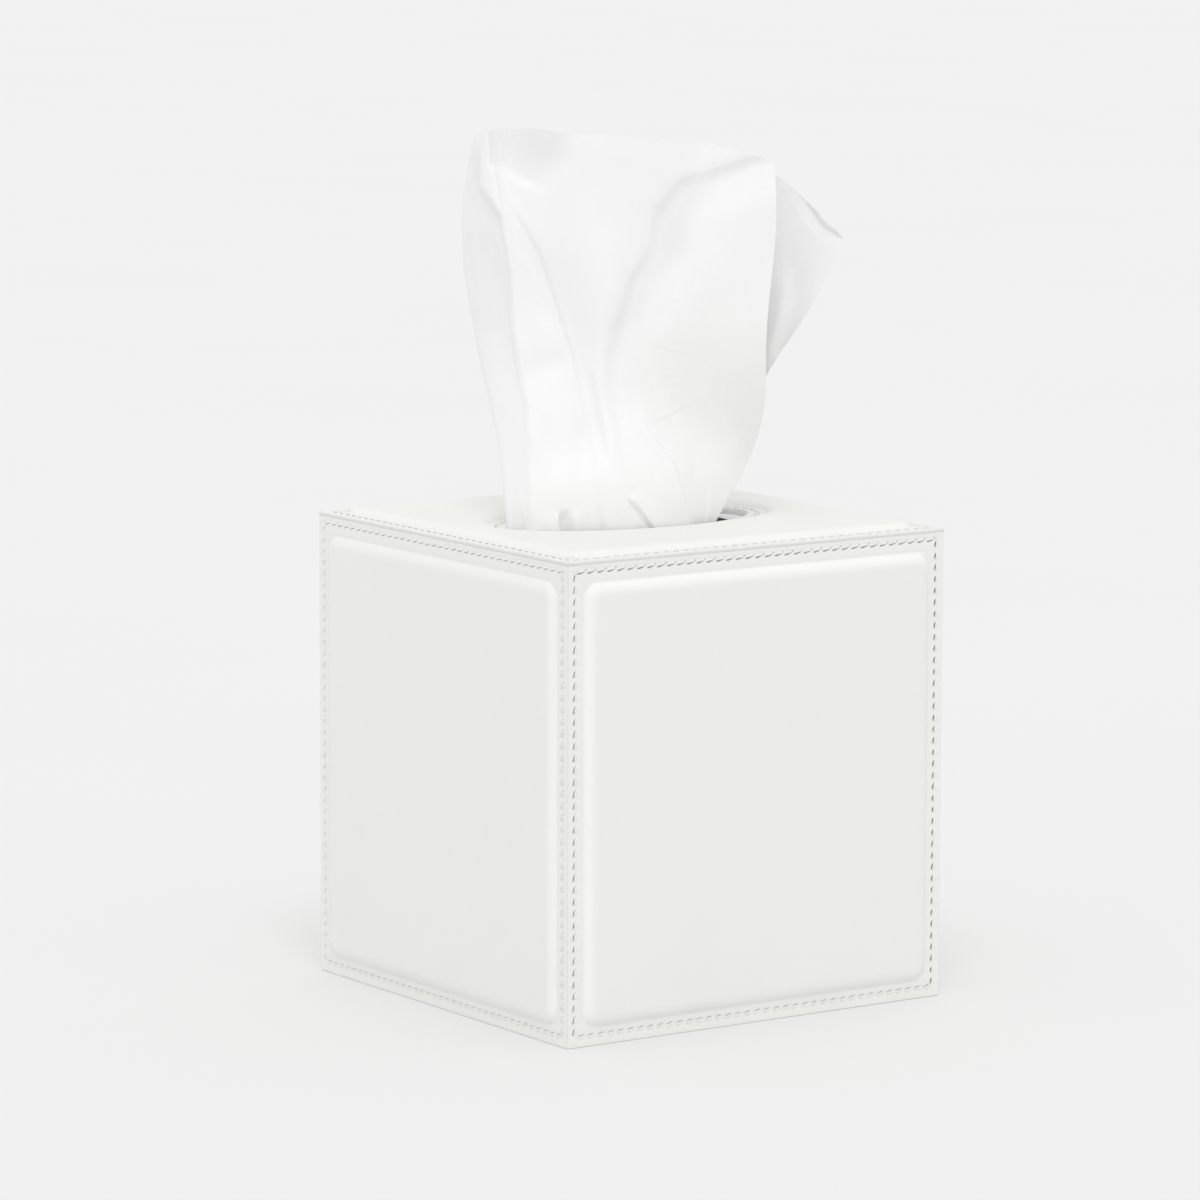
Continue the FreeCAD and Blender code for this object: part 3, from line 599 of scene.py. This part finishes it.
for number, (side, (size_a, off, degrees)) in enumerate(WALLS.items()):
    # The last tuple gives each wall's painted highlight on its low a, high a, low b and high b side.
    # Back and left walls get it on other sides, and fainter painted shade in their slits
    soft = side in ("back", "left")
    piece = panel(f"padded_{side}", size_a, wall_tall, ("mitre", "mitre", "foot", "cut"),
                  wall_rows(size_a, soft), 11 + 7 * number, wall_place(off, degrees),
                  (0.1, 0.8, 0, 0.3) if soft else (0.9, 0, 0, 1))
    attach(piece, "root")
    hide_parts(f"leather_{side}")

# The top's swell gets a painted highlight on all four sides
top = panel("padded_top", WIDTH, DEPTH, ("cut",) * 4, frame_rows(WIDTH, DEPTH), 53,
            lambda a, b, out: np.stack([a, b, HEIGHT + out], -1), (0.3, 0.2, 0.5, 0.1), hole=True)
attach(top, "root")
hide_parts("leather_top")

# Thread
reach_x, reach_y = WIDTH / 2, DEPTH / 2
# Each wall's way along, way out, half width and distance from the middle
SIDES = {"front": ((1, 0, 0), (0, -1, 0), reach_x, reach_y),
         "right": ((0, 1, 0), (1, 0, 0), reach_y, reach_x),
         "back": ((-1, 0, 0), (0, 1, 0), reach_x, reach_y),
         "left": ((0, -1, 0), (-1, 0, 0), reach_y, reach_x)}
UP = np.array([0, 0, 1.0])
places = {}
names = list(SIDES)
for i, side in enumerate(names):
    along, out, reach, off = SIDES[side]
    along, out = np.array(along, float), np.array(out, float)
    ends = [out * off + along * (s * (reach - INSET)) for s in (-1, 1)]
    high, low = UP * (HEIGHT - INSET), UP * INSET
    on_top = [out * (off - INSET) + along * (s * (reach - INSET)) + UP * HEIGHT for s in (-1, 1)]
    places[f"thread_top_{side}"] = (line_places(ends[0] + high, ends[1] + high, out, 10)
                                    + line_places(on_top[0], on_top[1], UP, 6))
    places[f"thread_hem_{side}"] = line_places(ends[0] + low, ends[1] + low, out, 10)
    other = names[(i + 1) % 4]
    along2, out2, reach2, off2 = SIDES[other]
    start1 = out * off + along * (reach - CORNER_INSET)
    start2 = np.array(out2, float) * off2 - np.array(along2, float) * (reach2 - CORNER_INSET)
    places[f"thread_corner_{side}_{other}"] = (
        line_places(start1 + low, start1 + high, out, -12, CORNER_SHARE)
        + line_places(start2 + low, start2 + high, out2, -12, CORNER_SHARE))
ring_turn, ring_length = ellipse_run(OPENING[0] + INSET, OPENING[1] + INSET)
ring_count = int(round(ring_length[-1] / PITCH))
ring = []
a, b = OPENING[0] + INSET, OPENING[1] + INSET
for k in range(ring_count):
    at = np.interp(ring_length[-1] * (k + 0.5) / ring_count, ring_length, ring_turn)
    along = np.array([-a * math.sin(at), b * math.cos(at), 0])
    centre = (a * math.cos(at), b * math.sin(at), HEIGHT)
    ring.append((centre, along / np.linalg.norm(along), UP, 8, 1.0))
places["thread_opening"] = ring
for name, spots in places.items():
    piece = thread_piece(f"stitches_{name[7:]}", spots, thread)
    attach(piece, "root")
    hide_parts(name)

# Drawn tissue. Stations run along the sheet from the back layer's free edge over the curl at the left to
# the front layer's free edge. Each has its reach and depth at every level over the top rim.

FOOT = -53.5
LEVELS = np.array([FOOT, -15.5, 0, 20, 42, 66, 90, 118])
STATIONS = np.array([
    [(38, 1), (20, 2), (0, 2), (-20, 2), (-38, 0), (-35, -2),
     (-20, -2), (-10, -2), (0, -2), (12, -2), (24, -2), (37, -1)],
    [(19, 1), (9, 3), (-4, 0), (-18, 3), (-33, 0), (-27, -7),
     (-13, -9), (-7, -12), (-1, -10), (7, -13), (13, -9), (18, -8)],
    [(23, 2), (11, 5), (-5, 1), (-21, 5), (-36, 0), (-30, -9),
     (-13, -13), (-8, -16), (-2, -15), (8, -17), (14, -14), (20, -12)],
    [(34.5, 5), (18, 7), (-4, 5), (-22, 7), (-38, 0), (-31, -8),
     (-14, -9), (-9, -12), (-3, -10), (9, -14), (17, -10), (33, -8)],
    [(43, 9), (27, 10), (0, 9), (-27, 9), (-43, 0), (-35, -9),
     (-16, -6), (-10, -10), (-4, -8), (5, -11), (19, -10), (39.5, -9)],
    [(56.5, 13), (34, 11), (2, 11), (-31, 10), (-48, 2), (-36, -9),
     (-23, -6), (-8, -12), (1.5, -7.5), (14, -12), (27, -12), (41.5, -10)],
    [(66, 15), (38, 10), (5, 12), (-32, 10), (-50, 4), (-39, -8),
     (-33, -6), (-12, -12), (9, -6), (20, -10), (32, -12), (43.5, -10)],
    [(66, 15), (40, 8), (5, 11), (-30, 10), (-45, 4), (-43, -5),
     (-36, -1), (-14, -11), (22, -7), (28, -9), (35, -10), (42, -10)],
], float)
# Height of the upper edge at each station
TOPS = np.array([84, 105, 112, 115.7, 114.6, 116.2, 117.5, 116.5, 113.5, 112.5, 110.5, 108])
# The sheet turns by TURN from the opening up to TURN_TOP. AWAY points from its front to its back.
TURN, TURN_TOP = math.radians(-34.4), 62.0
AWAY = (math.sin(-TURN), math.cos(TURN))
# The front layer runs from this station on, and is whole from the second
FRONT_START, FRONT_FULL = 3.9, 4.6
BACK_COLUMNS, FRONT_COLUMNS, LOW_ROWS, HIGH_ROWS = 90, 210, 70, 249
RIM_ROOM = 0.9  # between the sheet and the opening's rim


def curve(at, places, values):
    """Natural cubic spline through values at places, along the first axis of values."""
    gaps = np.diff(places)
    count = len(places)
    system, right = np.eye(count), np.zeros_like(values)
    for k in range(1, count - 1):
        system[k, k - 1:k + 2] = gaps[k - 1], 2 * (gaps[k - 1] + gaps[k]), gaps[k]
        after, before = (values[k + 1] - values[k]) / gaps[k], (values[k] - values[k - 1]) / gaps[k - 1]
        right[k] = 6 * (after - before)
    bends = np.linalg.solve(system, right.reshape(count, -1)).reshape(values.shape)
    i = np.clip(np.searchsorted(places, at) - 1, 0, count - 2)
    rest = at.shape + (1,) * (values.ndim - 1)
    gap = gaps[i].reshape(rest)
    v = np.clip((at - places[i]) / gaps[i], 0, 1).reshape(rest)
    w = 1 - v
    bend = (w ** 3 - w) * bends[i] + (v ** 3 - v) * bends[i + 1]
    return w * values[i] + v * values[i + 1] + gap ** 2 / 6 * bend


def station_weights(columns):
    """Share of every station in each column, for a smooth curve through the stations."""
    weights = np.zeros((len(columns), len(TOPS)))
    for c, at in enumerate(columns):
        i = min(int(at), len(TOPS) - 2)
        v = at - i
        for k, w in ((i - 1, -v + 2 * v ** 2 - v ** 3), (i, 2 - 5 * v ** 2 + 3 * v ** 3),
                     (i + 1, v + 4 * v ** 2 - 3 * v ** 3), (i + 2, -v ** 2 + v ** 3)):
            weights[c, min(max(k, 0), len(TOPS) - 1)] += w / 2
    return weights


def signed_distance(u, z, line):
    """Distance from a line of straight pieces, positive right of its run, and how far along, 0 to 1."""
    line = np.array(line, float)
    best = np.full(u.shape, 1e9)
    signed, along = np.zeros(u.shape), np.zeros(u.shape)
    lengths = np.hypot(*np.diff(line, axis=0).T)
    for k, (start, end) in enumerate(zip(line, line[1:])):
        step = end - start
        share = ((u - start[0]) * step[0] + (z - start[1]) * step[1]) / (step @ step)
        held = np.clip(share, 0, 1)
        du, dz = u - start[0] - held * step[0], z - start[1] - held * step[1]
        away = np.hypot(du, dz)
        side = np.sign(du * step[1] - dz * step[0])
        nearer = away < best
        best = np.where(nearer, away, best)
        signed = np.where(nearer, away * side, signed)
        along = np.where(nearer, (lengths[:k].sum() + held * lengths[k]) / lengths.sum(), along)
    return signed, along


def crease(u, z, line, profile, ends=(0.12, 0.12), soft=0.4):
    """Lift towards the viewer near a line, from pairs of distance across it and lift."""
    signed, along = signed_distance(u, z, line)
    across, lift = np.array(profile, float).T
    fade = smooth(0, ends[0], along) if ends[0] else 1.0
    fade = fade * (smooth(0, ends[1], 1 - along) if ends[1] else 1.0)
    steps = [(-1, 1), (-0.5, 2), (0, 3), (0.5, 2), (1, 1)]
    total = sum(np.interp(signed + soft * step, across, lift) * share for step, share in steps)
    return total / 9 * fade


# Folds of the front layer, each a line down the sheet: place across it and height over the top rim
LONG_CREASE = [(-38.8, 98.8), (-33.6, 91.3), (-27.3, 80.8), (-23.3, 68.8), (-21, 61.3), (-17.3, 49.3),
               (-14.4, 34.3), (-11.4, 20), (-9.9, 8.7), (-8.4, 1.3), (-6, -20)]
CURL = [(-43.5, 113), (-44.4, 100.3), (-38.1, 91.3), (-35.5, 74.8), (-34.8, 57.5), (-32.9, 46.3),
        (-30.3, 35), (-29.2, 16.3), (-28, 0)]
VALLEY = [(60, 120), (31.6, 108.6), (14.6, 102.6), (7.2, 93.6), (5.7, 82.3), (-0.3, 73.3), (-2.5, 64.3),
          (-5.5, 58.3), (-7.7, 47), (-8.5, 36)]
ARC = [(1, 42), (3.4, 35.8), (5.7, 29), (9.4, 23.8), (13.8, 17.8), (16, 10.2), (18.3, 1.2), (20, -20)]
# Small folds: line, profile across it, and how far it fades at its ends
SMALL_FOLDS = [
    ([(-1, 9.5), (2.9, 5), (8, -2.5)],
     [(-5, 0), (-0.7, 0.9), (0.1, -1.2), (0.9, 0.2), (5, 0)], (0.2, 0)),
    ([(-19.3, 7), (-17.8, -4)],
     [(-6, 0), (-2.4, 1.3), (-0.8, -2.2), (0.8, -2.2), (2.4, 1.4), (6, 0)], (0.4, 0)),
    ([(-24.5, 36), (-24, 20), (-26, 2)], [(-5, 0), (0, -1.0), (5, 0)], (0.4, 0)),
    ([(-13.5, 34), (-14.5, 18), (-13, 0)], [(-4, 0), (0, -0.9), (4, 0)], (0.4, 0)),
]


def front_lift(u, z):
    """Folds of the front layer, seen from the side of the viewer."""
    lift = crease(u, z, LONG_CREASE,
                  [(-14, 0), (-1.3, 0.9), (-0.1, -0.35), (1.0, 0.1), (6, 0.3), (14, 0)], (0.15, 0.02))
    lift += crease(u, z, CURL, [(-7, 0), (-0.8, 1.1), (0.7, -1.7), (4, -1.6), (10, 0)], (0.15, 0.4))
    lift += crease(u, z, VALLEY,
                   [(-30, 0), (-14, 1.0), (-3.0, -1.3), (1.2, 0.5), (14, 0)], (0, 0.35), 1.6)
    lift += crease(u, z, ARC,
                   [(-18, 0), (-5, -1.7), (-0.7, -1.5), (0.6, 1.1), (6, 1.1), (14, 0)], (0.35, 0), 0.5)
    lift += wedge(u, z) + swelling(u, z, 1.2, (-20, 28), (10, 18))
    lift += swelling(u, z, 2.0, (31, 22), (14, 20))
    share, over = dent(u, z)
    lift -= 2.6 * share * np.clip(1 - over / 22, 0, 1)
    for line, profile, ends in SMALL_FOLDS:
        lift += crease(u, z, line, profile, ends)
    return lift


def swelling(u, z, high, centre, wide):
    """A soft bulge about a centre."""
    return high * np.exp(-((u - centre[0]) / wide[0]) ** 2 - ((z - centre[1]) / wide[1]) ** 2)


def line_at(z, line):
    """Where a line that runs down the sheet is at a height."""
    across, level = np.array(line[::-1], float).T
    return np.interp(z, level, across)


def front_fold_shade(u, z):
    """Painted shade on the front layer: a band along the curl, the slack beside the valley fold, and the
    dent.
    """
    curl = line_at(z, CURL)
    curl_shade = smooth(curl + 0.3, curl - 0.9, u) * 0.95 * smooth(115, 108, z)
    fold = line_at(z, VALLEY)
    wide = np.interp(z, [42, 54, 66, 78, 87, 96, 104], [1, 5, 8, 11, 13, 15, 12])
    valley_shade = smooth(fold - 1.0, fold + 0.8, u) * smooth(fold + wide + 2, fold + 0.5 * wide, u)
    share, over = dent(u, z)
    # Painted shade in the dent
    hollow = share * (0.5 + 0.6 * smooth(2, 14, over))
    return np.clip(np.maximum(curl_shade, 0.8 * valley_shade * smooth(42, 68, z)) + hollow, 0, 1)


def wedge(u, z):
    """The short fold across the strip at the left: it bulges over its lower end."""
    across = smooth(-37, -29, u) * (1 - smooth(-25, -15.5, u))
    level = 49.5 + 0.12 * (u + 26)
    slope = 3.0 + 1.6 * smooth(-18, -34, u)
    place = (z - level) / slope
    lift = np.exp(-(place - 1.6) ** 2 / 2.2) * 1.3 - np.exp(-(place + 0.9) ** 2 / 1.2) * 1.1
    return lift * across


def dent(u, z):
    """The dent in the upper left corner beside a lip: its share, and how far over its lower end."""
    right, _ = signed_distance(u, z, [(-12, 124), (-16.8, 105.6), (-24.5, 97.5), (-34, 90)])
    low, _ = signed_distance(u, z, [(-60, 112), (-41, 105.6), (-26.2, 98), (-8, 93)])
    lip, _ = signed_distance(u, z, [(-42.6, 124), (-42.4, 112), (-41.9, 102), (-40, 92)])
    share = smooth(-1.0, 2.6, -low) * smooth(0, 9, right) * smooth(0, 1.6, -lip)
    return share, np.maximum(-low, 0)


def back_lift(u, z):
    """Folds of the back layer, seen from the side of the viewer."""
    corner = crease(u, z, [(50.5, 99), (58.4, 87.5), (65, 83.5)],
                    [(-6, 0), (-0.6, 0.5), (0.5, -0.7), (4, 0)], (0.3, 0))
    side = crease(u, z, [(50, 78), (47.8, 60), (43, 44)],
                  [(-7, 0), (-1, -0.9), (2.5, 0.9), (9, 0)], (0.3, 0.2), 0.8)
    return corner + side


def crumple(x, y, seed):
    """Small folds in thin paper, running up the sheet."""
    slant = x + 0.35 * y
    first = 1 - np.abs(noise(slant / 19 + 3, y / 60 + 5.5, seed)) * 2
    second = 1 - np.abs(noise(slant / 8 + 1, y / 25 + 7, seed + 1)) * 2
    return 0.34 * first + 0.16 * second + 0.09 * noise(x / 4.5, y / 8, seed + 2)


def rim_front(x):
    """How far in front of the middle a sheet that rests on the opening's front rim lies."""
    return OPENING[1] * np.sqrt(np.clip(1 - (x / OPENING[0]) ** 2, 0, 1)) - RIM_ROOM


def spread(columns, heights):
    """How far the back layer's free edge lies out into the opening's right end, just under the rim."""
    out = smooth(-0.2, -2.0, heights) * (1 - smooth(-3.2, -14, heights))
    out = out * (1 - smooth(0.9, 1.8, columns))[None, :]
    to_x = np.interp(columns, [0, 0.3, 0.6, 1, 1.8], [5, 17.6, 23.7, 25.5, 29])
    to_y = np.interp(columns, [0, 0.3, 0.6, 1, 1.8], [-16.3, -10.4, -3.8, 2.5, 4])
    return to_x * out, to_y * out


def sheet_heights(columns, weights):
    """Heights of the sheet's points over the top rim, row by row from the foot up."""
    tops = weights @ TOPS + 0.5 * noise(columns * 2.3, columns * 0, 91)
    low = np.repeat(np.linspace(FOOT, 0, LOW_ROWS)[:, None], len(columns), 1)
    high = np.linspace(0, 1, HIGH_ROWS + 1)[1:, None] * tops[None, :]
    return np.concatenate([low, high])


def tissue_points():
    """Grid of the sheet's points, and how much painted shade each gets."""
    columns = np.concatenate([np.linspace(0, FRONT_START, BACK_COLUMNS, endpoint=False),
                              np.linspace(FRONT_START, len(TOPS) - 1, FRONT_COLUMNS)])
    weights = station_weights(columns)
    heights = sheet_heights(columns, weights)
    flat = np.einsum("rcsk,cs->rck", curve(heights, LEVELS, STATIONS), weights)
    reach, depth = flat[..., 0], flat[..., 1]
    run = np.concatenate([[0], np.cumsum(np.hypot(*np.diff(flat[160], axis=0).T))])

    # The turn towards the viewer
    share = np.clip(heights / TURN_TOP, 0, 1)
    turn = TURN * share * share * (3 - 2 * share)
    reach = reach / np.cos(TURN - turn)
    front = smooth(FRONT_START, FRONT_FULL, columns)[None, :] + 0 * heights
    x = reach * np.cos(turn) - depth * np.sin(turn)
    y = reach * np.sin(turn) + depth * np.cos(turn)

    # The front layer leans on the opening's front rim
    lean = 0.85 * front * smooth(-16, -2, heights) * (1 - smooth(0, 42, heights)) * smooth(2, 9, -y)
    gap = (rim_front(x) + y) / AWAY[1]
    gap = np.maximum(rim_front(x - AWAY[0] * gap) + y, 0) / AWAY[1]
    x, y = x - AWAY[0] * gap * lean, y - AWAY[1] * gap * lean

    # Folds and crumpling, kept behind the rim
    u = x * math.cos(TURN) + y * math.sin(TURN)
    lift = front * front_lift(u, heights) + (1 - front) * back_lift(u, heights)
    lift = (lift + crumple(run[None, :] + 0 * heights, heights, 61)) * smooth(-20, 10, heights)
    x, y = x + lift * np.sin(turn), y - lift * np.cos(turn)
    y = y + (np.maximum(y, -rim_front(x)) - y) * (np.abs(x) < 38) * (1 - smooth(0, 9, heights))

    out_x, out_y = spread(columns, heights)
    return np.stack([x + out_x, y + out_y, HEIGHT + heights], -1), front * front_fold_shade(u, heights)


# The sheet's painted shade goes with it as a mesh attribute
grid, fold_shade = tissue_points()
sheet = build_mesh("drawn_tissue", grid.reshape(-1, 3), grid_faces(grid.shape[0], grid.shape[1]), tissue,
                   {"fold_shade": fold_shade.reshape(-1)})
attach(sheet, "root")
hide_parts("tissue_sheet")

# Floor, light and camera
FLOOR_HALF, FLOOR_LEVEL = 30000, -0.05
signs = ((-1, -1), (1, -1), (1, 1), (-1, 1))
corners = [(x * FLOOR_HALF, y * FLOOR_HALF, FLOOR_LEVEL) for x, y in signs]
floor = build_mesh("floor", corners, [[0, 1, 2, 3]], floor_material())

world = bpy.data.worlds.new("world")
bpy.context.scene.world = world
world.use_nodes = True
world_nodes, world_links = world.node_tree.nodes, world.node_tree.links
direction = world_nodes.new("ShaderNodeTexCoord")
height = world_nodes.new("ShaderNodeSeparateXYZ")
world_links.new(direction.outputs["Generated"], height.inputs["Vector"])
sky = ramp(world_nodes, world_links, height.outputs["Z"], 0.0, 1.0, (1, 1, 1), (0.885, 0.885, 0.885))
world_links.new(sky, world_nodes["Background"].inputs["Color"])
world_nodes["Background"].inputs["Strength"].default_value = 0.995

sun = bpy.data.lights.new("sun", "SUN")
sun.energy = 0.55
sun.angle = math.radians(24)
lamp = bpy.data.objects.new("sun", sun)
lamp.rotation_euler = Vector((0.28, 0.45, -0.85)).to_track_quat("-Z", "Y").to_euler()
bpy.context.scene.collection.objects.link(lamp)

# The camera stands to the left in front of the box. Its place is in metres, its focal length in pixels.
PLACE, FOCAL, FRAME, SENSOR = (-1.02078, -1.47737, 0.38019), 6025.5, 1200, 36
azimuth, elevation, roll = math.radians(34.372), math.radians(8.326), math.radians(0.141)
level = math.cos(elevation)
look = Vector((math.sin(azimuth) * level, math.cos(azimuth) * level, -math.sin(elevation)))
right = Vector((math.cos(azimuth), -math.sin(azimuth), 0))
up = right.cross(look)
right, up = right * math.cos(roll) + up * math.sin(roll), up * math.cos(roll) - right * math.sin(roll)
camera = bpy.data.objects.new("camera", bpy.data.cameras.new("camera"))
camera.data.sensor_width = SENSOR
camera.data.lens = SENSOR * FOCAL / FRAME
camera.data.clip_start = 0.05
axes = Matrix((right, up, -look)).transposed().to_4x4()
camera.matrix_world = Matrix.Translation(PLACE) @ axes
bpy.context.scene.collection.objects.link(camera)
bpy.context.scene.camera = camera
bpy.context.scene.view_settings.view_transform = "Standard"
